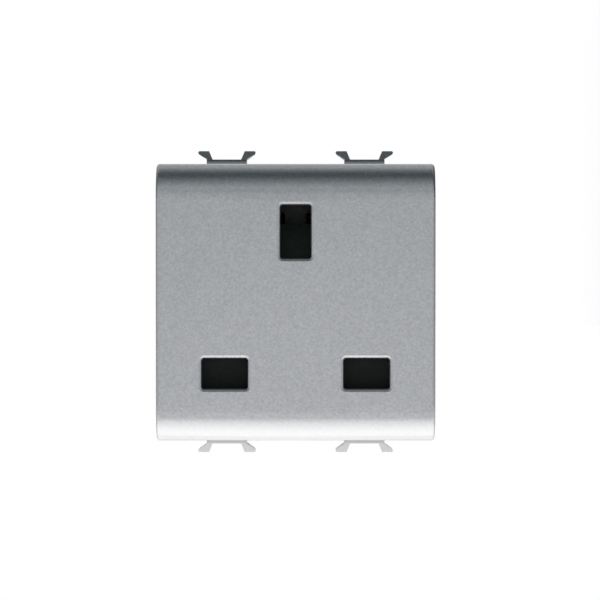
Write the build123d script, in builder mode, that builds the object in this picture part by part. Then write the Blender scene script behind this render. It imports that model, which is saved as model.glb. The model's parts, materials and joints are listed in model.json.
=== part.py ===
from build123d import *
import os

os.makedirs("parts", exist_ok=True)

# British three-pin socket module for a clip-in support frame, in millimetres.
# X is to the right seen from the front, Y goes back into the wall, Z is up.
# The origin is the middle of the plane in which the rim rests on the support frame.

# Plug standard: pin spacing, pin sizes and the slots in the face
PIN_SPACING = 22.23
LIVE_PIN_WIDTH = 6.35
EARTH_PIN_WIDTH = 7.92
EARTH_PIN_LENGTH = 22.73
LIVE_SLOT_WIDTH = 7.2
LIVE_SLOT_HEIGHT = 4.8
EARTH_SLOT_WIDTH = 4.8
EARTH_SLOT_HEIGHT = 8.4
SLOT_CORNER = 0.4
SLOT_BEVEL = 0.23
SLOT_BEVEL_DEPTH = 0.33
SLOT_EASE = 0.23
SLOT_EASE_ALONG = 0.17

# Front cover; the edge share is the part of the band above the earth slot that curves away
FACE_WIDTH = 43.8
FACE_HEIGHT = 43.7
FACE_STAND = 9.0
EDGE_SHARE = 0.857
EDGE_DEPTH = 4.0
INNER_EDGE_SHARE = 0.286
SIDE_ROUND = 0.5
SKIN = 2.0
COVER_WALL = 1.8
RIM_THICKNESS = 1.8
RIM_LEDGE = 1.5
SIDE_LEDGE = 0.2
SKIRT_DEPTH = 7.0
SKIRT_WALL = 1.4

# Clip lugs, as rises above the skirt and half widths from the lug's own middle
LUG_SPACING = 22.2
LUG_BAR_RISE = 2.55
LUG_RISE = 3.95
LUG_ROOT_HALF = 3.22
HORN_INNER_FOOT = 2.31
HORN_INNER_TOP = 2.87
HORN_TIP = 4.63
HORN_TIP_HEIGHT = 0.45
HORN_UNDERSIDE_RISE = 0.1
HORN_BEVEL = 0.15
RAIL_THICKNESS = 2.0
RAIL_GAP = 0.15
LUG_DEPTH = 5.0
LUG_RAMP_LENGTH = 3.2
LUG_RAMP_DROP = 1.2
LUG_LEAN_RISE = 0.8
LUG_LEAN_DEPTH = 0.28
LUG_BEVEL_RISE = 1.8
LUG_BEVEL_DEPTH = 1.3
LOWER_LUG_LEAN_DEPTH = 0.68

# Running clearances
SLIDE_GAP = 0.2
SNAP_GAP = 0.15
SEAT_GAP = 0.05

# Shutter and the plate behind it
SHUTTER_THICKNESS = 2.0
BLADE_OVERLAP = 0.55
BLADE_BEVEL = 0.5
STEM_SIDE = 2.0
STEM_OVER = 1.2
STEM_THICKNESS = 4.6
STEM_NOTCH = 2.45
RAMP_RISE = 5.5
RAMP_LAND = 0.5
PLATE_THICKNESS = 1.6
COLLAR_SIDE = 0.6
COLLAR_LIP = 1.2
COLLAR_LENGTH = 1.2
SHELF_HALF = 3.2
SHELF_THICKNESS = 1.2
SPRING_OUTSIDE = 3.2
SPRING_WIRE = 0.36
SPRING_TURNS = 5
SPRING_POCKET = 3.6
SPRING_POCKET_DEPTH = 5.6
SPRING_PEG = 1.8
SPRING_PEG_LENGTH = 1.6
RIB_THICKNESS = 1.0
RIB_GAP = 0.5
POST_SIZE = 2.4

# Base housing
BASE_WALL = 1.4
CHAMBER_WALL = 1.2
BASE_CORNER = 0.8
BASE_BEVEL = 0.6
STEM_RELIEF = 1.0
LIVE_CHAMBER_RISE = 4.2
EARTH_CHAMBER_DROP = 5.7
REAR_RIB_STAND = 6.0
HOOK_HEIGHT = 6.0
HOOK_DEPTH = 2.1
HOOK_STAND = 1.3
HOOK_REAR = 5.3
HOOK_Z = 9.0
WIRE_ENTRY_WIDTH = 5.6
WIRE_ENTRY_CORNER = 1.4
WIRE_ENTRY_FLARE = 0.6
DRIVER_HOLE = 5.2
DRIVER_BOSS = 8.0
DRIVER_BOSS_STAND = 0.6

# Contacts, folded from strip
STRIP = 0.8
STRIP_BEND = 0.6
MOUTH_HALF = 2.9
THROAT_HALF = 1.75
BELLY_HALF = 2.9
EARTH_BELLY_HALF = 3.4
MOUTH_LENGTH = 3.4
LAND_LENGTH = 3.0
BELLY_LENGTH = 3.4
LIVE_MOUTH_GAP = 0.2
EARTH_PIN_GRIP = 11.33
WEB_GAP = 0.25
EARTH_LEAF_RISE = 3.2
TAIL_WIDTH = 5.2
CLIP_STRIP = 0.5
CLIP_WIDTH = 2.4
CLIP_BACK_GAP = 0.45
CLIP_ARM = 2.0

# Rising-cage terminals
CAGE_WALL = 0.9
CAGE_INSIDE = 6.9
CAGE_FLOOR = 1.0
CAGE_TOP = 1.6
CAGE_LENGTH = 6.0
CAGE_REST_GAP = 0.3
CAGE_TRAVEL = 3.5
CAGE_ROUND = 0.7
WIRE_SPACE = 4.3
PIN_TIP_GAP = 0.67
SCREW_SHANK = 3.5
SCREW_HEAD = 6.2
SCREW_HEAD_HEIGHT = 1.8
SCREW_SLOT = 1.0
SCREW_SLOT_DEPTH = 1.0
SCREW_POINT = 0.5
SCREW_EDGE = 0.3
THREAD_GAP = 0.1

# Stations along Y
face_y = -FACE_STAND
edge_y = face_y + EDGE_DEPTH
skin_y = face_y + SKIN
shutter_y = skin_y + SLIDE_GAP
plate_y = shutter_y + SHUTTER_THICKNESS + SLIDE_GAP
base_y = plate_y + PLATE_THICKNESS
stem_y = shutter_y + STEM_THICKNESS
lug_y = RAIL_THICKNESS + RAIL_GAP
lug_rear_y = lug_y + LUG_DEPTH
live_mouth_y = base_y + COLLAR_LENGTH + LIVE_MOUTH_GAP
earth_mouth_y = face_y + EARTH_PIN_LENGTH - EARTH_PIN_GRIP
cage_y = face_y + EARTH_PIN_LENGTH + PIN_TIP_GAP
fork_end_y = cage_y - SLIDE_GAP - SEAT_GAP
wire_y = cage_y + CAGE_FLOOR
box_rear_y = wire_y + SLIDE_GAP
tail_y = wire_y + WIRE_SPACE
cage_top_y = tail_y + STRIP + CAGE_REST_GAP
cage_rear_y = cage_top_y + CAGE_TOP
screw_tip_y = tail_y + STRIP + SEAT_GAP
head_y = cage_rear_y + CAGE_TRAVEL + SLIDE_GAP
head_rear_y = head_y + SCREW_HEAD_HEIGHT
rear_wall_y = head_rear_y + SLIDE_GAP
rear_y = rear_wall_y + BASE_WALL

# Sizes and heights that follow from the face and the pins
half_pin = PIN_SPACING / 2
edge_height = EDGE_SHARE * (FACE_HEIGHT / 2 - half_pin - EARTH_SLOT_HEIGHT / 2)
edge_foot = FACE_HEIGHT / 2 - edge_height
cavity_width = FACE_WIDTH - 2 * COVER_WALL
skirt_width = FACE_WIDTH - 2 * SIDE_LEDGE
skirt_height = FACE_HEIGHT - 2 * RIM_LEDGE
skirt_top = skirt_height / 2
bar_top = skirt_top + LUG_BAR_RISE
lug_top = skirt_top + LUG_RISE
lug_bevel_foot = lug_top - LUG_BEVEL_RISE
lug_lean_foot = lug_bevel_foot - LUG_LEAN_RISE
base_width = skirt_width - 2 * SKIRT_WALL - 2 * SLIDE_GAP
base_height = skirt_height - 2 * SKIRT_WALL - 2 * SLIDE_GAP
inside_top = base_height / 2 - BASE_WALL
spring_foot = -base_height / 2 + SHELF_THICKNESS
spring_y = (shutter_y + stem_y) / 2
blade_half = half_pin + LIVE_SLOT_WIDTH / 2 + BLADE_OVERLAP
blade_top = -half_pin + LIVE_SLOT_HEIGHT / 2 + BLADE_OVERLAP
blade_foot = -half_pin - LIVE_SLOT_HEIGHT / 2 - BLADE_OVERLAP
stem_half = EARTH_SLOT_WIDTH / 2 + STEM_SIDE
stem_top = half_pin + EARTH_SLOT_HEIGHT / 2 + STEM_OVER
stem_foot = blade_foot + STEM_NOTCH
pocket_top = stem_foot + SPRING_POCKET_DEPTH
earth_window_half = EARTH_SLOT_WIDTH / 2 + SLIDE_GAP
ramp_foot = half_pin - EARTH_SLOT_HEIGHT / 2
ramp_top = ramp_foot + RAMP_RISE
rib_foot = blade_top + RIB_GAP
plate_window_width = LIVE_SLOT_WIDTH + SLIDE_GAP
plate_window_height = LIVE_SLOT_HEIGHT + SLIDE_GAP
live_chamber_top = -half_pin + LIVE_CHAMBER_RISE
earth_chamber_foot = half_pin - EARTH_CHAMBER_DROP
cage_outside = CAGE_INSIDE + 2 * CAGE_WALL
cage_far = inside_top - SLIDE_GAP
cage_mid = cage_far - CAGE_LENGTH / 2
chamber_width = cage_outside + 2 * SLIDE_GAP


def front_plane(y):
    return Plane.XZ.offset(-y)


# One lug outline, drawn at the top of the part and centred on its own middle
with BuildSketch() as lug_outline:
    with BuildLine():
        Polyline(
            (0, skirt_top - SKIRT_WALL / 2),
            (LUG_ROOT_HALF, skirt_top - SKIRT_WALL / 2),
            (LUG_ROOT_HALF, bar_top + HORN_UNDERSIDE_RISE),
            (HORN_TIP, lug_top - HORN_TIP_HEIGHT),
            (HORN_TIP, lug_top),
            (HORN_INNER_TOP, lug_top),
            (HORN_INNER_FOOT, bar_top),
            (0, bar_top),
            close=True,
        )
    make_face()
    chamfer(lug_outline.vertices().sort_by(Axis.X)[-2:], length=HORN_BEVEL)
    mirror(about=Plane.YZ)

# Front cover: rounded face, rim, skirt and the four clip lugs in one moulding
with BuildPart() as front_cover:
    with BuildSketch(Plane.YZ) as cover_side:
        with BuildLine():
            Polyline(
                (face_y, edge_foot),
                (face_y, 0),
                (0, 0),
                (0, FACE_HEIGHT / 2),
                (edge_y, FACE_HEIGHT / 2),
            )
            EllipticalCenterArc((edge_y, edge_foot), EDGE_DEPTH, edge_height, start_angle=90, arc_size=90)
        make_face()
        mirror(about=Plane.XZ)
    extrude(amount=FACE_WIDTH / 2, both=True)
    side_faces = [front_cover.faces().sort_by(Axis.X)[0], front_cover.faces().sort_by(Axis.X)[-1]]
    side_edges = [e for f in side_faces for e in f.edges() if e.center().Y < -SIDE_ROUND]
    fillet(side_edges, radius=SIDE_ROUND)

    with BuildSketch(Plane.YZ) as cover_hollow:
        with Locations(((skin_y - RIM_THICKNESS) / 2, 0)):
            Rectangle(-RIM_THICKNESS - skin_y, FACE_HEIGHT - 2 * COVER_WALL)
        fillet(cover_hollow.vertices().group_by(Axis.X)[0], radius=INNER_EDGE_SHARE * edge_height)
    extrude(amount=cavity_width / 2, both=True, mode=Mode.SUBTRACT)

    with BuildSketch(front_plane(0)):
        Rectangle(skirt_width, skirt_height)
    extrude(amount=-SKIRT_DEPTH)
    with BuildSketch(front_plane(-RIM_THICKNESS)):
        Rectangle(skirt_width - 2 * SKIRT_WALL, skirt_height - 2 * SKIRT_WALL)
    extrude(amount=-RIM_THICKNESS - SKIRT_DEPTH, mode=Mode.SUBTRACT)

    # Lugs with a ramp at the back for snapping in; the upper fronts are bevelled for release
    with BuildSketch(front_plane(lug_y)):
        with Locations((-LUG_SPACING / 2, 0), (LUG_SPACING / 2, 0)):
            add(lug_outline.sketch)
        mirror(about=Plane.XZ)
    extrude(amount=-LUG_DEPTH)
    with BuildSketch(Plane.YZ):
        with BuildLine():
            Polyline(
                (lug_rear_y - LUG_RAMP_LENGTH, lug_top),
                (lug_rear_y, lug_top),
                (lug_rear_y, lug_top - LUG_RAMP_DROP),
                close=True,
            )
        make_face()
        mirror(about=Plane.XZ)
        with BuildLine():
            Polyline(
                (lug_y, lug_lean_foot),
                (lug_y, lug_top),
                (lug_y + LUG_LEAN_DEPTH + LUG_BEVEL_DEPTH, lug_top),
                (lug_y + LUG_LEAN_DEPTH, lug_bevel_foot),
                close=True,
            )
        make_face()
        with BuildLine():
            Polyline(
                (lug_y, -lug_lean_foot),
                (lug_y, -lug_top),
                (lug_y + LOWER_LUG_LEAN_DEPTH, -lug_top),
                close=True,
            )
        make_face()
    extrude(amount=FACE_WIDTH / 2, both=True, mode=Mode.SUBTRACT)

    # Windows in the sides of the skirt for the hooks of the base
    with BuildSketch(Plane.YZ):
        with Locations((HOOK_REAR - HOOK_DEPTH / 2, -HOOK_Z), (HOOK_REAR - HOOK_DEPTH / 2, HOOK_Z)):
            Rectangle(HOOK_DEPTH + 2 * SNAP_GAP, HOOK_HEIGHT + 2 * SNAP_GAP)
    extrude(amount=FACE_WIDTH / 2, both=True, mode=Mode.SUBTRACT)

    # Posts that hold the plate and ribs that guide the shutter
    with BuildSketch(front_plane(skin_y)):
        with GridLocations(cavity_width - POST_SIZE, base_height - 2 * POST_SIZE, 2, 2):
            Rectangle(POST_SIZE, POST_SIZE)
    extrude(amount=skin_y - plate_y)
    with BuildSketch(front_plane(skin_y)):
        with GridLocations(2 * stem_half + 2 * SLIDE_GAP + RIB_THICKNESS, 0, 2, 1):
            with Locations((0, (rib_foot + stem_top) / 2)):
                Rectangle(RIB_THICKNESS, stem_top - rib_foot)
    extrude(amount=skin_y - plate_y + SLIDE_GAP)

    # Pin slots; their front edges are eased in two steps, each cut from the face
    with BuildSketch(front_plane(face_y)) as slots:
        with Locations((-half_pin, -half_pin), (half_pin, -half_pin)):
            Rectangle(LIVE_SLOT_WIDTH, LIVE_SLOT_HEIGHT)
        with Locations((0, half_pin)):
            Rectangle(EARTH_SLOT_WIDTH, EARTH_SLOT_HEIGHT)
        fillet(slots.vertices(), radius=SLOT_CORNER)
    extrude(amount=-SKIN, mode=Mode.SUBTRACT)
    for width, depth in ((SLOT_BEVEL, SLOT_BEVEL_DEPTH), (SLOT_EASE, SLOT_EASE_ALONG)):
        face = front_cover.faces().sort_by(Axis.Y)[0]
        slot_edges = [e for w in face.inner_wires() for e in w.edges()]
        chamfer(slot_edges, length=width, length2=depth, reference=face)
front_cover.part.label = "front_cover"
export_step(front_cover.part, "parts/front_cover.step")

# Shutter: two blades behind the live slots on a stem with the ramp for the earth pin
with BuildPart() as shutter:
    with BuildSketch(front_plane(shutter_y)):
        with Locations((0, (blade_top + blade_foot) / 2)):
            Rectangle(2 * blade_half, blade_top - blade_foot)
    extrude(amount=-SHUTTER_THICKNESS)
    chamfer(shutter.edges().group_by(Axis.Y)[0].sort_by(Axis.Z)[0], length=BLADE_BEVEL)
    with BuildSketch(front_plane(shutter_y)):
        with Locations((0, (stem_top + stem_foot) / 2)):
            Rectangle(2 * stem_half, stem_top - stem_foot)
        with Locations((0, (stem_top + ramp_foot) / 2)):
            Rectangle(2 * earth_window_half, stem_top - ramp_foot, mode=Mode.SUBTRACT)
    extrude(amount=-STEM_THICKNESS)
    with BuildSketch(front_plane(shutter_y)):
        with Locations((0, (stem_foot + blade_foot) / 2)):
            Rectangle(2 * stem_half, stem_foot - blade_foot)
    extrude(amount=-SHUTTER_THICKNESS, mode=Mode.SUBTRACT)
    with BuildSketch(Plane.YZ):
        with BuildLine():
            Polyline(
                (shutter_y, ramp_foot),
                (stem_y - RAMP_LAND, ramp_top),
                (stem_y, ramp_top),
                (stem_y, ramp_foot),
                close=True,
            )
        make_face()
    extrude(amount=earth_window_half, both=True)
    with BuildSketch(Plane.XY.offset(stem_foot)):
        with Locations((0, spring_y)):
            Circle(SPRING_POCKET / 2)
    extrude(amount=SPRING_POCKET_DEPTH, mode=Mode.SUBTRACT)
shutter.part.label = "shutter"
export_step(shutter.part, "parts/shutter.step")

# Return spring of the shutter, between the shelf and the bottom of its pocket
with BuildPart() as shutter_spring:
    spring_radius = (SPRING_OUTSIDE - SPRING_WIRE) / 2
    spring_rise = pocket_top - spring_foot - SPRING_WIRE
    spring_start = spring_foot + SPRING_WIRE / 2
    with BuildLine() as coil:
        Helix(spring_rise / SPRING_TURNS, spring_rise, spring_radius, center=(0, spring_y, spring_start))
    with BuildSketch(Plane(origin=coil.line @ 0, z_dir=coil.line % 0)):
        Rectangle(SPRING_WIRE, SPRING_WIRE)
    sweep(path=coil.line, is_frenet=True)
shutter_spring.part.label = "shutter_spring"
export_step(shutter_spring.part, "parts/shutter_spring.step")

# Plate behind the shutter, with pin collars and the shelf that carries the spring
with BuildPart() as shutter_plate:
    with BuildSketch(front_plane(plate_y)) as plate_outline:
        Rectangle(base_width, base_height)
        chamfer(plate_outline.vertices(), length=BASE_CORNER)
        with Locations((0, (stem_top + SLIDE_GAP + spring_foot) / 2)):
            Rectangle(2 * (stem_half + SLIDE_GAP), stem_top + SLIDE_GAP - spring_foot, mode=Mode.SUBTRACT)
    extrude(amount=-PLATE_THICKNESS)
    with BuildSketch(front_plane(base_y)):
        with Locations((-half_pin, -half_pin), (half_pin, -half_pin)):
            Rectangle(plate_window_width + 2 * COLLAR_SIDE, plate_window_height + 2 * COLLAR_LIP)
    extrude(amount=-COLLAR_LENGTH)
    with BuildSketch(front_plane(plate_y)):
        with Locations((-half_pin, -half_pin), (half_pin, -half_pin)):
            Rectangle(plate_window_width, plate_window_height)
    extrude(amount=-PLATE_THICKNESS - COLLAR_LENGTH, mode=Mode.SUBTRACT)
    with BuildSketch(front_plane(shutter_y)):
        with Locations((0, spring_foot - SHELF_THICKNESS / 2)):
            Rectangle(2 * SHELF_HALF, SHELF_THICKNESS)
    extrude(amount=shutter_y - plate_y)
    with BuildSketch(Plane.XY.offset(spring_foot)):
        with Locations((0, spring_y)):
            Circle(SPRING_PEG / 2)
    extrude(amount=SPRING_PEG_LENGTH)
shutter_plate.part.label = "shutter_plate"
export_step(shutter_plate.part, "parts/shutter_plate.step")

# Base housing: a block with one chamber for each contact and a tower behind each terminal
with BuildPart() as base_housing:
    with BuildSketch(front_plane(base_y)) as block_outline:
        Rectangle(base_width, base_height)
        chamfer(block_outline.vertices(), length=BASE_CORNER)
    extrude(amount=base_y - box_rear_y)
    chamfer(base_housing.faces().sort_by(Axis.Y)[-1].edges(), length=BASE_BEVEL)

    # Middle and height of each chamber, and of the tower behind it
    live_height = inside_top + live_chamber_top
    live_mid = (live_chamber_top - inside_top) / 2
    earth_height = inside_top - earth_chamber_foot
    earth_mid = (inside_top + earth_chamber_foot) / 2
    chambers = [
        (half_pin, live_mid, live_height),
        (-half_pin, live_mid, live_height),
        (0, earth_mid, earth_height),
    ]
    with BuildSketch(front_plane(cage_y)) as tower_outlines:
        for x, z, height in chambers:
            with Locations((x, z)):
                Rectangle(chamber_width + 2 * CHAMBER_WALL, height + 2 * BASE_WALL)
        chamfer(tower_outlines.vertices(), length=BASE_CORNER)
    extrude(amount=cage_y - rear_y)
    chamfer(base_housing.faces().group_by(Axis.Y)[-1].edges(), length=BASE_BEVEL)

    # Rear ribs that tie the towers together
    with BuildSketch(front_plane(cage_y)):
        with Locations((0, -half_pin)):
            Rectangle(PIN_SPACING - chamber_width, CHAMBER_WALL)
        with Locations((0, (earth_chamber_foot - half_pin) / 2)):
            Rectangle(CHAMBER_WALL, earth_chamber_foot + half_pin)
    extrude(amount=cage_y - box_rear_y - REAR_RIB_STAND)

    # Chambers from the open front to the rear wall
    with BuildSketch(front_plane(base_y)):
        for x, z, height in chambers:
            with Locations((x, z)):
                Rectangle(chamber_width, height)
    extrude(amount=base_y - rear_wall_y, mode=Mode.SUBTRACT)

    # Room for the stem of the shutter in front of the chambers
    relief_top = max(inside_top, stem_top + SLIDE_GAP)
    with BuildSketch(front_plane(base_y)):
        with Locations((0, (relief_top - inside_top) / 2)):
            Rectangle(2 * (stem_half + 2 * SLIDE_GAP), relief_top + inside_top)
    extrude(amount=-STEM_RELIEF, mode=Mode.SUBTRACT)

    # Hooks that snap into the windows of the skirt
    with BuildSketch(Plane.XY.offset(-HOOK_HEIGHT / 2)) as hook:
        with BuildLine():
            Polyline(
                (base_width / 2 - SLIDE_GAP, HOOK_REAR - HOOK_DEPTH),
                (base_width / 2, HOOK_REAR - HOOK_DEPTH),
                (base_width / 2 + HOOK_STAND, HOOK_REAR - HOOK_DEPTH / 4),
                (base_width / 2 + HOOK_STAND, HOOK_REAR),
                (base_width / 2 - SLIDE_GAP, HOOK_REAR),
                close=True,
            )
        make_face()
        mirror(about=Plane.YZ)
    for z in (-HOOK_Z, HOOK_Z):
        extrude(hook.sketch.moved(Location((0, 0, z))), amount=HOOK_HEIGHT)

    # Flared wire entries, two below and one above
    wire_mid_y = wire_y + WIRE_SPACE / 2
    for x, side in ((half_pin, -1), (-half_pin, -1), (0, 1)):
        outer_plane = Plane((x, wire_mid_y, side * base_height / 2), x_dir=(1, 0, 0), z_dir=(0, 0, side))
        with BuildSketch(outer_plane) as entry:
            RectangleRounded(WIRE_ENTRY_WIDTH, WIRE_SPACE, WIRE_ENTRY_CORNER)
        extrude(amount=-BASE_WALL, mode=Mode.SUBTRACT)
        flared = base_housing.faces().sort_by(Axis.Z)[-1 if side > 0 else 0].inner_wires()
        chamfer([e for w in flared for e in w.edges() if abs(e.center().X - x) < WIRE_ENTRY_WIDTH],
                length=WIRE_ENTRY_FLARE)

    # Raised screwdriver guides in the rear wall
    with BuildSketch(front_plane(rear_y)) as guides:
        with Locations((half_pin, -cage_mid), (-half_pin, -cage_mid), (0, cage_mid)):
            Circle(DRIVER_BOSS / 2)
    extrude(amount=-DRIVER_BOSS_STAND)
    with BuildSketch(front_plane(rear_wall_y)):
        with Locations((half_pin, -cage_mid), (-half_pin, -cage_mid), (0, cage_mid)):
            Circle(DRIVER_HOLE / 2)
    extrude(amount=-BASE_WALL - DRIVER_BOSS_STAND, mode=Mode.SUBTRACT)
base_housing.part.label = "base_housing"
export_step(base_housing.part, "parts/base_housing.step")


# Middle line of a contact leaf, as depths and distances from the middle of the pin
def leaf_stations(mouth_y, belly_half):
    throat_y = mouth_y + MOUTH_LENGTH
    belly_y = throat_y + LAND_LENGTH + BELLY_LENGTH
    return [
        (mouth_y, MOUTH_HALF + STRIP / 2),
        (throat_y, THROAT_HALF + STRIP / 2),
        (throat_y + LAND_LENGTH, THROAT_HALF + STRIP / 2),
        (belly_y, belly_half + STRIP / 2),
    ]


# Line contact on the right and neutral contact on the left, seen from the front
for name, side in (("line", 1), ("neutral", -1)):
    leaf = leaf_stations(live_mouth_y, BELLY_HALF)
    web_x = side * (half_pin + LIVE_PIN_WIDTH / 2 + WEB_GAP + STRIP / 2)
    with BuildPart() as contact:
        with BuildSketch(Plane.YZ.offset(side * half_pin)):
            with BuildLine():
                FilletPolyline(
                    *[(y, -half_pin + h) for y, h in leaf],
                    (tail_y + STRIP / 2, -half_pin + BELLY_HALF + STRIP / 2),
                    (tail_y + STRIP / 2, -cage_far),
                    radius=STRIP_BEND,
                )
            trace(line_width=STRIP)
            with BuildLine():
                FilletPolyline(
                    *[(y, -half_pin - h) for y, h in leaf],
                    (fork_end_y, -half_pin - BELLY_HALF - STRIP / 2),
                    radius=STRIP_BEND,
                )
            trace(line_width=STRIP)
        extrude(amount=TAIL_WIDTH / 2, both=True)
        with BuildSketch(front_plane(fork_end_y)):
            with BuildLine():
                FilletPolyline(
                    (side * half_pin, -half_pin + BELLY_HALF + STRIP / 2),
                    (web_x, -half_pin + BELLY_HALF + STRIP / 2),
                    (web_x, -half_pin - BELLY_HALF - STRIP / 2),
                    (side * half_pin, -half_pin - BELLY_HALF - STRIP / 2),
                    radius=STRIP_BEND,
                )
            trace(line_width=STRIP)
        extrude(amount=fork_end_y - leaf[-1][0])
    contact.part.label = f"{name}_contact"
    export_step(contact.part, f"parts/{name}_contact.step")

    with BuildPart() as clip:
        clip_half = THROAT_HALF + STRIP + SEAT_GAP + CLIP_STRIP / 2
        clip_back = side * (half_pin - LIVE_PIN_WIDTH / 2 - CLIP_BACK_GAP - CLIP_STRIP / 2)
        clip_y = live_mouth_y + MOUTH_LENGTH + LAND_LENGTH / 2 - CLIP_WIDTH / 2
        with BuildSketch(front_plane(clip_y)):
            with BuildLine():
                FilletPolyline(
                    (side * (half_pin + CLIP_ARM), -half_pin + clip_half),
                    (clip_back, -half_pin + clip_half),
                    (clip_back, -half_pin - clip_half),
                    (side * (half_pin + CLIP_ARM), -half_pin - clip_half),
                    radius=STRIP_BEND,
                )
            trace(line_width=CLIP_STRIP)
        extrude(amount=-CLIP_WIDTH)
    clip.part.label = f"{name}_grip_spring"
    export_step(clip.part, f"parts/{name}_grip_spring.step")

# Earth contact: two upright leaves on a web that runs back to the terminal
with BuildPart() as earth_contact:
    web_z = half_pin - EARTH_PIN_WIDTH / 2 - WEB_GAP - STRIP / 2
    with BuildSketch(Plane.XY.offset(web_z)):
        with BuildLine():
            FilletPolyline(
                *[(h, y) for y, h in leaf_stations(earth_mouth_y, EARTH_BELLY_HALF)],
                (EARTH_BELLY_HALF + STRIP / 2, fork_end_y),
                radius=STRIP_BEND,
            )
        trace(line_width=STRIP)
        mirror(about=Plane.YZ)
    extrude(amount=half_pin + EARTH_LEAF_RISE - web_z)
    with BuildSketch(Plane.YZ):
        with BuildLine():
            FilletPolyline(
                (earth_mouth_y + MOUTH_LENGTH + LAND_LENGTH, web_z),
                (tail_y + STRIP / 2, web_z),
                (tail_y + STRIP / 2, cage_far),
                radius=STRIP_BEND,
            )
        trace(line_width=STRIP)
    extrude(amount=TAIL_WIDTH / 2, both=True)
earth_contact.part.label = "earth_contact"
export_step(earth_contact.part, "parts/earth_contact.step")

with BuildPart() as earth_grip_spring:
    clip_half = THROAT_HALF + STRIP + SEAT_GAP + CLIP_STRIP / 2
    clip_back = web_z - CLIP_BACK_GAP - CLIP_STRIP / 2
    clip_y = earth_mouth_y + MOUTH_LENGTH + LAND_LENGTH / 2 - CLIP_WIDTH / 2
    with BuildSketch(front_plane(clip_y)):
        with BuildLine():
            FilletPolyline(
                (clip_half, half_pin + CLIP_ARM),
                (clip_half, clip_back),
                (-clip_half, clip_back),
                (-clip_half, half_pin + CLIP_ARM),
                radius=STRIP_BEND,
            )
        trace(line_width=CLIP_STRIP)
    extrude(amount=-CLIP_WIDTH)
earth_grip_spring.part.label = "earth_grip_spring"
export_step(earth_grip_spring.part, "parts/earth_grip_spring.step")

# Rising cages and captive screws of the three terminals
for name, x, z in (("line", half_pin, -cage_mid), ("neutral", -half_pin, -cage_mid), ("earth", 0, cage_mid)):
    with BuildPart() as cage:
        with BuildSketch(Plane.XY.offset(z - CAGE_LENGTH / 2)):
            with Locations((x, (cage_y + cage_rear_y) / 2)):
                RectangleRounded(cage_outside, cage_rear_y - cage_y, CAGE_ROUND)
            with Locations((x, (wire_y + cage_top_y) / 2)):
                Rectangle(CAGE_INSIDE, cage_top_y - wire_y, mode=Mode.SUBTRACT)
        extrude(amount=CAGE_LENGTH)
        with BuildSketch(front_plane(cage_top_y)):
            with Locations((x, z)):
                Circle(SCREW_SHANK / 2 + THREAD_GAP)
        extrude(amount=-CAGE_TOP, mode=Mode.SUBTRACT)
    cage.part.label = f"{name}_cage"
    export_step(cage.part, f"parts/{name}_cage.step")

    with BuildPart() as screw:
        with BuildSketch(front_plane(screw_tip_y)):
            with Locations((x, z)):
                Circle(SCREW_SHANK / 2)
        extrude(amount=screw_tip_y - head_y)
        chamfer(screw.edges().sort_by(Axis.Y)[0], length=SCREW_POINT)
        with BuildSketch(front_plane(head_y)):
            with Locations((x, z)):
                Circle(SCREW_HEAD / 2)
        extrude(amount=-SCREW_HEAD_HEIGHT)
        chamfer(screw.edges().sort_by(Axis.Y)[-1], length=SCREW_EDGE)
        with BuildSketch(front_plane(head_rear_y - SCREW_SLOT_DEPTH)):
            with Locations((x, z)):
                Rectangle(SCREW_HEAD, SCREW_SLOT)
                Rectangle(SCREW_SLOT, SCREW_HEAD / 2)
        extrude(amount=-SCREW_SLOT_DEPTH, mode=Mode.SUBTRACT)
    screw.part.label = f"{name}_screw"
    export_step(screw.part, f"parts/{name}_screw.step")
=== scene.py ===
import json
import math

import bmesh
import bpy
from mathutils import Matrix, Vector


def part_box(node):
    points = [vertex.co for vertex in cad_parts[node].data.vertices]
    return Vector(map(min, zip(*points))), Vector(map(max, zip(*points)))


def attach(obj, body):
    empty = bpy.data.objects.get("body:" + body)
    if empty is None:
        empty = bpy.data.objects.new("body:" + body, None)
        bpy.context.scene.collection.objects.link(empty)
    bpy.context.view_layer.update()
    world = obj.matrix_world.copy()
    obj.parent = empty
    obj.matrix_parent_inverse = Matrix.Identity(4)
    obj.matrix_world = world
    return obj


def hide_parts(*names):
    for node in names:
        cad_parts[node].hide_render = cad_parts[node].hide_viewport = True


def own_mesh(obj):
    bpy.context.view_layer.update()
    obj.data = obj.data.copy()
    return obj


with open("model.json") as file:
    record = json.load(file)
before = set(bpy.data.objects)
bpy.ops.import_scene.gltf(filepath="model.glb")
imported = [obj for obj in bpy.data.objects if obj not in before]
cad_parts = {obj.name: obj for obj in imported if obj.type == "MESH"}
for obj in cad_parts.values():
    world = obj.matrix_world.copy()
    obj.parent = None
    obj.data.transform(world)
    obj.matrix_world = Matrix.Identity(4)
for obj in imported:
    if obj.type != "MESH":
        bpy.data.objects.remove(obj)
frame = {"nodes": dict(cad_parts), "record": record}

scene = bpy.context.scene
nodes = frame["nodes"]
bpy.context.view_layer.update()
MM = 0.001


# Node helpers

def new_material(name):
    material = bpy.data.materials.new(name)
    material.use_nodes = True
    tree = material.node_tree
    return material, tree, tree.nodes["Principled BSDF"]


def coordinates(tree, stretch=(1, 1, 1)):
    place = tree.nodes.new("ShaderNodeTexCoord")
    if stretch == (1, 1, 1):
        return place.outputs["Object"]
    mapping = tree.nodes.new("ShaderNodeMapping")
    mapping.inputs["Scale"].default_value = stretch
    tree.links.new(place.outputs["Object"], mapping.inputs["Vector"])
    return mapping.outputs["Vector"]


def along(tree, axis):
    node = tree.nodes.new("ShaderNodeSeparateXYZ")
    tree.links.new(coordinates(tree), node.inputs["Vector"])
    return node.outputs[axis]


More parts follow.
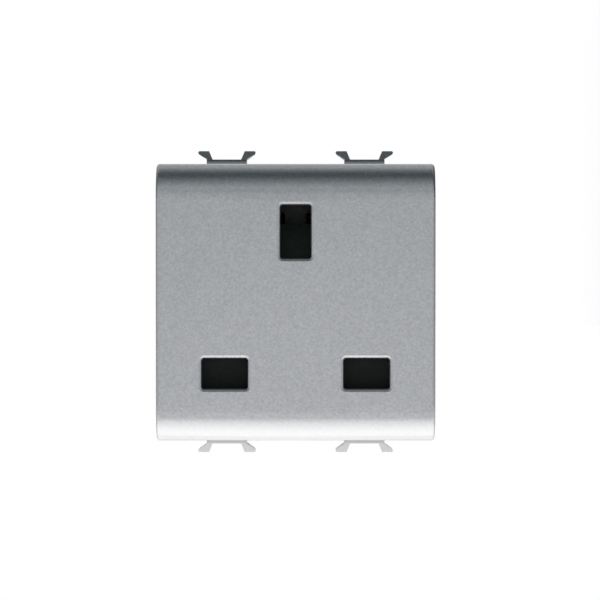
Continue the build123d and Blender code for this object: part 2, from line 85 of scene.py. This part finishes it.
def noise(tree, scale, detail=2.0, roughness=0.5, stretch=(1, 1, 1)):
    node = tree.nodes.new("ShaderNodeTexNoise")
    node.inputs["Scale"].default_value = scale
    node.inputs["Detail"].default_value = detail
    node.inputs["Roughness"].default_value = roughness
    tree.links.new(coordinates(tree, stretch), node.inputs["Vector"])
    return node.outputs["Fac"]


def cells(tree, scale):
    """Small cells, each with a value of its own from 0 to 1."""
    node = tree.nodes.new("ShaderNodeTexVoronoi")
    node.inputs["Scale"].default_value = scale
    tree.links.new(coordinates(tree), node.inputs["Vector"])
    split = tree.nodes.new("ShaderNodeSeparateColor")
    tree.links.new(node.outputs["Color"], split.inputs["Color"])
    return split.outputs["Red"]


def between(tree, value, low, high, start=0.25, end=0.75):
    """Go from low to high as the value goes from start to end; the given ends suit a noise."""
    node = tree.nodes.new("ShaderNodeMapRange")
    node.inputs["From Min"].default_value = start
    node.inputs["From Max"].default_value = end
    node.inputs["To Min"].default_value = low
    node.inputs["To Max"].default_value = high
    tree.links.new(value, node.inputs["Value"])
    return node.outputs["Result"]


def calculate(tree, operation, *values):
    node = tree.nodes.new("ShaderNodeMath")
    node.operation = operation
    for socket, value in zip(node.inputs, values):
        if isinstance(value, (int, float)):
            socket.default_value = value
        else:
            tree.links.new(value, socket)
    return node.outputs["Value"]


def faded(tree, value, show):
    """Pull a value towards its middle, 0.5, where show is small."""
    offset = calculate(tree, "MULTIPLY", calculate(tree, "SUBTRACT", value, 0.5), show)
    return calculate(tree, "ADD", offset, 0.5)


def blend_colours(tree, value, dark, light):
    node = tree.nodes.new("ShaderNodeMix")
    node.data_type = "RGBA"
    sockets = {s.name: s for s in node.inputs if s.type == "RGBA"}
    sockets["A"].default_value = (*dark, 1)
    sockets["B"].default_value = (*light, 1)
    factor = [s for s in node.inputs if s.name == "Factor" and s.type == "VALUE"][0]
    tree.links.new(between(tree, value, low=0.0, high=1.0), factor)
    return [s for s in node.outputs if s.type == "RGBA"][0]


def speckled(tree, scale, dark, light):
    return blend_colours(tree, noise(tree, scale, detail=3.0), dark, light)


def scaled_colour(tree, colour, factor):
    node = tree.nodes.new("ShaderNodeVectorMath")
    node.operation = "SCALE"
    tree.links.new(colour, node.inputs[0])
    tree.links.new(factor, node.inputs["Scale"])
    return node.outputs["Vector"]


def dress(tree, shader, colour, roughness):
    tree.links.new(colour, shader.inputs["Base Color"])
    tree.links.new(roughness, shader.inputs["Roughness"])


def bump(tree, shader, height, strength, distance):
    node = tree.nodes.new("ShaderNodeBump")
    node.inputs["Strength"].default_value = strength
    node.inputs["Distance"].default_value = distance
    tree.links.new(height, node.inputs["Height"])
    tree.links.new(node.outputs["Normal"], shader.inputs["Normal"])


# Satin titanium lacquer: fine metal flake with a soft mottle. Along the lower edge the grain, flake and bump
# fade out, painted to look like the smooth highlight of the lamps below. Behind the rim, on the skirt and the
# lugs, the colour is a little darker.
titanium, tree, shader = new_material("titanium_paint")
shader.inputs["Metallic"].default_value = 0.9
# Painted highlight: the grain shows fully above the lower edge and only a fifth as much along it, where the
# lamps below light it
show = between(tree, along(tree, "Z"), low=0.2, high=1.0, start=-19.6 * MM, end=-17.6 * MM)
grain = faded(tree, noise(tree, scale=2300, detail=3.0, roughness=0.6), show)
mottle = blend_colours(tree, grain, dark=(0.354, 0.358, 0.375), light=(0.412, 0.417, 0.437))
flake = between(tree, faded(tree, cells(tree, scale=4000), show), low=0.91, high=1.09, start=0.0, end=1.0)
cloud = between(tree, noise(tree, scale=70), low=0.985, high=1.015)
# Darker towards the back: from the rim back over the skirt and the lugs
darker_behind_rim = between(tree, along(tree, "Y"), low=1.0, high=0.88, start=0.0, end=2 * MM)
shade = calculate(tree, "MULTIPLY", calculate(tree, "MULTIPLY", flake, cloud), darker_behind_rim)
dress(tree, shader, colour=scaled_colour(tree, mottle, shade),
      roughness=between(tree, noise(tree, scale=1500), low=0.27, high=0.33))
bump(tree, shader, faded(tree, noise(tree, scale=2600), show), strength=0.12, distance=0.02 * MM)

# Black moulded plastic with a fine spark-eroded grain
black, tree, shader = new_material("black_plastic")
shader.inputs["IOR"].default_value = 1.5
dress(tree, shader,
      colour=speckled(tree, scale=900, dark=(0.014, 0.015, 0.0155), light=(0.022, 0.023, 0.024)),
      roughness=between(tree, noise(tree, scale=400), low=0.4, high=0.5))
bump(tree, shader, noise(tree, scale=5200), strength=0.25, distance=0.03 * MM)

# Dead matt black of the shutter, painted lighter upwards behind the earth slot, where less light reaches it
matt, tree, shader = new_material("shutter_black")
shader.inputs["Specular IOR Level"].default_value = 0.08
plain = speckled(tree, scale=900, dark=(0.0066, 0.0088, 0.008), light=(0.0094, 0.0122, 0.0112))
# Painted light: up to 2.4 times lighter from 2 mm to 8 mm up, where the earth slot gets less light
painted_light_upwards = between(tree, along(tree, "Z"), low=1.0, high=2.4, start=2 * MM, end=8 * MM)
dress(tree, shader, colour=scaled_colour(tree, plain, painted_light_upwards),
      roughness=between(tree, noise(tree, scale=500), low=0.6, high=0.7))
bump(tree, shader, noise(tree, scale=5200), strength=0.2, distance=0.03 * MM)

# Rolled brass strip: lines along the rolling direction and a little tarnish
brass, tree, shader = new_material("contact_brass")
shader.inputs["Metallic"].default_value = 1.0
lines = noise(tree, scale=2200, roughness=0.6, stretch=(1, 0.06, 1))
dress(tree, shader,
      colour=speckled(tree, scale=260, dark=(0.64, 0.45, 0.19), light=(0.76, 0.57, 0.27)),
      roughness=between(tree, lines, low=0.22, high=0.36))
bump(tree, shader, lines, strength=0.1, distance=0.02 * MM)

# Zinc plating on the steel screws
zinc, tree, shader = new_material("zinc_steel")
shader.inputs["Metallic"].default_value = 1.0
dress(tree, shader,
      colour=speckled(tree, scale=480, dark=(0.54, 0.56, 0.58), light=(0.69, 0.7, 0.7)),
      roughness=between(tree, noise(tree, scale=1400, detail=3.0), low=0.28, high=0.42))
bump(tree, shader, noise(tree, scale=3200), strength=0.12, distance=0.02 * MM)

# Black phosphate on the pressed steel cages
phosphate, tree, shader = new_material("black_steel")
shader.inputs["Metallic"].default_value = 1.0
dress(tree, shader,
      colour=speckled(tree, scale=700, dark=(0.05, 0.052, 0.054), light=(0.075, 0.077, 0.08)),
      roughness=between(tree, noise(tree, scale=1600, detail=3.0), low=0.33, high=0.42))
bump(tree, shader, noise(tree, scale=4200), strength=0.2, distance=0.02 * MM)

# Drawn spring steel
steel, tree, shader = new_material("spring_steel")
shader.inputs["Metallic"].default_value = 1.0
drawn = noise(tree, scale=3000, roughness=0.6, stretch=(1, 1, 0.2))
dress(tree, shader,
      colour=speckled(tree, scale=420, dark=(0.44, 0.44, 0.45), light=(0.56, 0.56, 0.56)),
      roughness=between(tree, drawn, low=0.24, high=0.38))
bump(tree, shader, drawn, strength=0.1, distance=0.01 * MM)

finishes = {
    "titanium_paint": titanium,
    "black_plastic": black,
    "contact_brass": brass,
    "zinc_steel": zinc,
    "black_steel": phosphate,
    "spring_steel": steel,
}


# Packed solids keep their shape; they get a finish and clean shading over tangent faces.
# The split angle lies between the steps of the rounded edges and the easing of the slots.
# With the full weight the largest face at a point sets the normal there.
weld_gap = 0.002 * MM
split_angle = math.radians(21.3)
full_weight, equal_within = 100, 1e-8

for part in frame["record"]["subparts"]:
    solid = nodes[part["node"]]
    solid.data.materials.clear()
    solid.data.materials.append(matt if part["node"] == "shutter" else finishes[part["material_slot"]])
    weld = solid.modifiers.new("weld", "WELD")
    weld.merge_threshold = weld_gap
    split = solid.modifiers.new("split", "EDGE_SPLIT")
    split.split_angle = split_angle
    even = solid.modifiers.new("even", "WEIGHTED_NORMAL")
    even.weight = full_weight
    even.thresh = equal_within


def add_mesh(name, mesh, body, slot):
    piece = bpy.data.objects.new(name, mesh)
    scene.collection.objects.link(piece)
    mesh.materials.append(finishes[slot])
    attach(piece, body)
    return piece


def swept_mesh(name, rings):
    """Closed tube through rings of points, capped at both ends."""
    form = bmesh.new()
    loops = [[form.verts.new(p) for p in ring] for ring in rings]
    count = len(loops[0])
    for a, b in zip(loops, loops[1:]):
        for i in range(count):
            form.faces.new((a[i], a[(i + 1) % count], b[(i + 1) % count], b[i]))
    form.faces.new(loops[0][::-1])
    form.faces.new(loops[-1])
    bmesh.ops.recalc_face_normals(form, faces=form.faces)
    mesh = bpy.data.meshes.new(name)
    form.to_mesh(mesh)
    form.free()
    for polygon in mesh.polygons:
        polygon.use_smooth = len(polygon.vertices) == 4
    return mesh


# Return spring in round wire with closed end coils; it stands on the plate's shelf
low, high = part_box("shutter_spring")
wire = 0.18 * MM
radius = (high.x - low.x) / 2 - wire
middle_y = (low.y + high.y) / 2
spring_foot = -17.55 * MM
spring_head = high.z
closed_turns, active_turns = 0.9, 5.6
coil_steps, ring_points = 30, 12
total_turns = 2 * closed_turns + active_turns
closed_rise = closed_turns * 2 * wire
active_rise = spring_head - spring_foot - 2 * wire - 2 * closed_rise


def spring_point(turn):
    if turn < closed_turns:
        rise = turn * 2 * wire
    elif turn < closed_turns + active_turns:
        rise = closed_rise + (turn - closed_turns) / active_turns * active_rise
    else:
        rise = closed_rise + active_rise + (turn - closed_turns - active_turns) * 2 * wire
    angle = 2 * math.pi * turn
    return Vector((radius * math.cos(angle), middle_y + radius * math.sin(angle), spring_foot + wire + rise))


rings = []
upward = Vector((0, 0, 1))
for i in range(int(total_turns * coil_steps) + 1):
    turn = i / coil_steps
    centre = spring_point(turn)
    outward = Vector((math.cos(2 * math.pi * turn), math.sin(2 * math.pi * turn), 0))
    rings.append([centre + wire * (math.cos(a) * outward + math.sin(a) * upward)
                  for a in (2 * math.pi * k / ring_points for k in range(ring_points))])
spring = add_mesh("return_spring", swept_mesh("return_spring", rings), "socket", "spring_steel")
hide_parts("shutter_spring")
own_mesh(spring)


# Thread on each terminal screw, between the point and the head
thread_start, thread_end, pitch = 0.6 * MM, 5.3 * MM, 0.6 * MM
root, crest = 1.72 * MM, 1.82 * MM
half_foot, half_crest = 0.24 * MM, 0.05 * MM
run_out_turns, least_height = 0.6, 0.3
thread_steps = 36

for name in ("line", "neutral", "earth"):
    low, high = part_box(f"{name}_screw")
    axis = Vector(((low.x + high.x) / 2, 0, (low.z + high.z) / 2))
    start, end = low.y + thread_start, low.y + thread_end
    turns = (end - start) / pitch
    rings = []
    for i in range(int(turns * thread_steps) + 1):
        turn = i / thread_steps
        angle = 2 * math.pi * turn
        out = Vector((math.cos(angle), 0, math.sin(angle)))
        fade = min(1, turn / run_out_turns, (turns - turn) / run_out_turns)
        top = root + (crest - root) * max(fade, least_height)
        y = start + turn * pitch
        profile = [(root, -half_foot), (top, -half_crest), (top, half_crest), (root, half_foot)]
        rings.append([axis + reach * out + Vector((0, y + offset, 0)) for reach, offset in profile])
    mesh = swept_mesh(f"{name}_thread", rings)
    add_mesh(f"{name}_thread", mesh, f"{name}_screw", "zinc_steel")


# Raised terminal marks on the rear of the towers: L, N and the earth sign
def letter_mesh(text, size, depth):
    curve = bpy.data.curves.new(f"mark_{text}", "FONT")
    curve.body = text
    curve.size = size
    curve.extrude = depth / 2
    curve.align_x = "CENTER"
    curve.align_y = "CENTER"
    curve.resolution_u = 4
    holder = bpy.data.objects.new(f"mark_{text}", curve)
    scene.collection.objects.link(holder)
    bpy.context.view_layer.update()
    mesh = bpy.data.meshes.new_from_object(holder.evaluated_get(bpy.context.evaluated_depsgraph_get()))
    bpy.data.objects.remove(holder)
    return mesh


def earth_mesh(size, depth):
    """One upright bar over three level ones, given as middle, width and height in shares of the size."""
    form = bmesh.new()
    stroke = 0.11
    bars = [(0.27, stroke, 0.46), (0.04, 0.8, stroke), (-0.17, 0.52, stroke), (-0.38, 0.26, stroke)]
    for middle, width, height in bars:
        block = bmesh.ops.create_cube(form, size=1)["verts"]
        bmesh.ops.scale(form, vec=(width * size, height * size, depth), verts=block)
        bmesh.ops.translate(form, vec=(0, middle * size, 0), verts=block)
    mesh = bpy.data.meshes.new("mark_earth")
    form.to_mesh(mesh)
    form.free()
    return mesh


letter_size, sign_size, mark_depth = 3.4 * MM, 3.2 * MM, 0.3 * MM
collar_height = 0.6 * MM
tower_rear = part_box("base_housing")[1].y - collar_height
sunk = mark_depth / 3
mark_middle = tower_rear + mark_depth / 2 - sunk
pin_offset = 11.115 * MM
letter_z, sign_z = -8.0 * MM, 7.4 * MM
facing_back = Matrix(((-1, 0, 0), (0, 0, 1), (0, 1, 0))).to_4x4()
marks = [
    ("line_mark", letter_mesh("L", letter_size, mark_depth), pin_offset, letter_z),
    ("neutral_mark", letter_mesh("N", letter_size, mark_depth), -pin_offset, letter_z),
    ("earth_mark", earth_mesh(sign_size, mark_depth), 0.0, sign_z),
]
for name, mesh, x, z in marks:
    mesh.transform(Matrix.Translation((x, mark_middle, z)) @ facing_back)
    mesh.materials.clear()
    add_mesh(name, mesh, "socket", "black_plastic")


# Pale paper floor below the picture; a little glow keeps it white around the part's soft shadow
reach, floor_z = 3, -0.075
corners = [(-reach, -reach), (reach, -reach), (reach, reach), (-reach, reach)]
floor_mesh = bpy.data.meshes.new("floor")
floor_mesh.from_pydata([(x, y, floor_z) for x, y in corners], [], [(0, 1, 2, 3)])
floor = bpy.data.objects.new("floor", floor_mesh)
scene.collection.objects.link(floor)
paper, tree, shader = new_material("floor_paper")
mottle = blend_colours(tree, noise(tree, scale=30), dark=(0.79, 0.79, 0.79), light=(0.81, 0.81, 0.81))
tree.links.new(mottle, shader.inputs["Base Color"])
shader.inputs["Roughness"].default_value = 0.9
shader.inputs["Emission Color"].default_value = (1, 0.99, 0.99, 1)
shader.inputs["Emission Strength"].default_value = 0.67
floor_mesh.materials.append(paper)

# Studio: white behind, light grey in front, with a long dark strip high in front and darker sides.
# The ramp runs from below eye level to the middle of the strip, 62 degrees up, and tints the dark blue-green.
strip_middle = (0, -0.4695, 0.8829)
ramp_start = 0.242
least_across = 0.35
red_power, blue_power = 1.14, 0.985
stops = [
    (0.0554, 1.0), (0.1856, 0.86), (0.3015, 0.73), (0.3892, 0.62), (0.56, 0.86), (0.64, 0.86),
    (0.7272, 0.7), (0.8507, 0.48), (0.9394, 0.285), (0.9728, 0.14), (0.9938, 0.058), (1.0, 0.05),
]
right_weight, left_weight, back_weight = 1.3, -1.0, 0.5

world = bpy.data.worlds.new("studio")
scene.world = world
world.use_nodes = True
tree = world.node_tree
background = tree.nodes["Background"]
direction = tree.nodes.new("ShaderNodeTexCoord").outputs["Generated"]
dot = tree.nodes.new("ShaderNodeVectorMath")
dot.operation = "DOT_PRODUCT"
dot.inputs[1].default_value = strip_middle
tree.links.new(direction, dot.inputs[0])
axes = tree.nodes.new("ShaderNodeSeparateXYZ")
tree.links.new(direction, axes.inputs["Vector"])
x, y = axes.outputs["X"], axes.outputs["Y"]

# Dividing by the length across keeps the strip straight from side to side
across = calculate(tree, "SUBTRACT", 1.0, calculate(tree, "MULTIPLY", x, x))
across = calculate(tree, "MAXIMUM", across, least_across)
strip = calculate(tree, "DIVIDE", dot.outputs["Value"], calculate(tree, "SQRT", across))
ramp = tree.nodes.new("ShaderNodeValToRGB")
elements = ramp.color_ramp.elements
elements[0].position, elements[1].position = stops[0][0], stops[-1][0]
for position, level in stops[1:-1]:
    elements.new(position)
for element, (position, level) in zip(elements, stops):
    element.color = (level ** red_power, level, level ** blue_power, 1)
tree.links.new(between(tree, strip, low=0.0, high=1.0, start=ramp_start, end=1.0), ramp.inputs["Fac"])

aside = calculate(tree, "MAXIMUM", calculate(tree, "MULTIPLY", x, right_weight),
                  calculate(tree, "MULTIPLY", x, left_weight))
aside = calculate(tree, "ADD", aside, calculate(tree, "MULTIPLY", y, back_weight))
sides = between(tree, aside, low=1.0, high=0.05, start=0.65, end=1.1)
tree.links.new(scaled_colour(tree, ramp.outputs["Color"], sides), background.inputs["Color"])
background.inputs["Strength"].default_value = 1.0


# Soft lamps from below, brightest under the part and weaker in front of it and behind it
lamp_z = -0.072
lamp_width = 0.2
lamp_colour = (1, 0.972, 0.915)


def lamp_below(name, front, back, level):
    lamp = bpy.data.lights.new(name, "AREA")
    lamp.shape = "RECTANGLE"
    lamp.size = lamp_width
    lamp.size_y = back - front
    lamp.energy = math.pi * lamp.size * lamp.size_y * level
    lamp.color = lamp_colour
    holder = bpy.data.objects.new(name, lamp)
    scene.collection.objects.link(holder)
    holder.location = (0, (front + back) / 2, lamp_z)
    holder.rotation_euler = (math.pi, 0, 0)
    holder.visible_camera = False


# Name, front edge, back edge and level of each lamp
lamps = [
    ("far", -1.5, -0.5, 1.15),
    ("front", -0.094, -0.08, 0.9),
    ("mid_front", -0.08, -0.062, 1.1),
    ("middle", -0.062, -0.047, 1.28),
    ("mid_back", -0.047, -0.033, 1.45),
    ("under", -0.033, 0.004, 1.7),
    ("back", 0.004, 0.06, 1.13),
]
for name, front, back, level in lamps:
    lamp_below(f"lamp_{name}", front, back, level)

# Camera in front of the face, a touch above it
rise = math.radians(0.8)
distance = 0.37
aim = Vector((0, -0.009, 0))
camera = bpy.data.cameras.new("camera")
camera.lens = 142.0
camera.sensor_width = 36
camera.shift_x = 0.0073
camera.shift_y = 0.0044
camera.clip_start = 0.01
camera_object = bpy.data.objects.new("camera", camera)
scene.collection.objects.link(camera_object)
camera_object.location = aim + distance * Vector((0, -math.cos(rise), math.sin(rise)))
camera_object.rotation_euler = (math.pi / 2 - rise, 0, 0)
scene.camera = camera_object
scene.view_settings.view_transform = "Standard"
